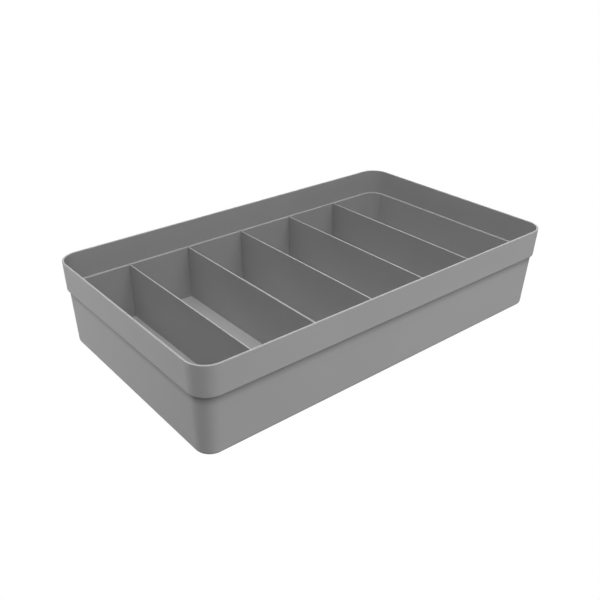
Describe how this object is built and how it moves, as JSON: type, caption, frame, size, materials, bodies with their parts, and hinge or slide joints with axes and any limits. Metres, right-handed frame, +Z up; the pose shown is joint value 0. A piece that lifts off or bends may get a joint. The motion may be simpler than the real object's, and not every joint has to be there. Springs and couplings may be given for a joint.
{
  "type": "drawer organizer insert",
  "caption": "Open-topped rectangular drawer tray with rounded corners, an outward stepped upper band, and thin upright dividers that lift out to leave equal compartments.",
  "frame": {"origin": "middle of the tray's flat underside", "axes": "+X along the tray's length, +Y across it, along the dividers, +Z up out of the tray's mouth"},
  "size_m": [0.4, 0.231, 0.082],
  "materials": {
    "tray_plastic": "neutral mid grey, injection moulded, fine matte texture",
    "divider_plastic": "neutral mid grey, injection moulded, fine matte texture"
  },
  "bodies": {
    "tray_body": {"tray": "tray_plastic"},
    "divider_1_body": {"divider_1": "divider_plastic"},
    "divider_2_body": {"divider_2": "divider_plastic"},
    "divider_3_body": {"divider_3": "divider_plastic"},
    "divider_4_body": {"divider_4": "divider_plastic"},
    "divider_5_body": {"divider_5": "divider_plastic"}
  },
  "joints": [
    {"name": "divider_1_lift", "type": "slide", "parent": "tray_body", "child": "divider_1_body", "axis": [0, 0, 1], "range_m": [0, 0.085]},
    {"name": "divider_2_lift", "type": "slide", "parent": "tray_body", "child": "divider_2_body", "axis": [0, 0, 1], "range_m": [0, 0.085]},
    {"name": "divider_3_lift", "type": "slide", "parent": "tray_body", "child": "divider_3_body", "axis": [0, 0, 1], "range_m": [0, 0.085]},
    {"name": "divider_4_lift", "type": "slide", "parent": "tray_body", "child": "divider_4_body", "axis": [0, 0, 1], "range_m": [0, 0.085]},
    {"name": "divider_5_lift", "type": "slide", "parent": "tray_body", "child": "divider_5_body", "axis": [0, 0, 1], "range_m": [0, 0.085]}
  ]
}
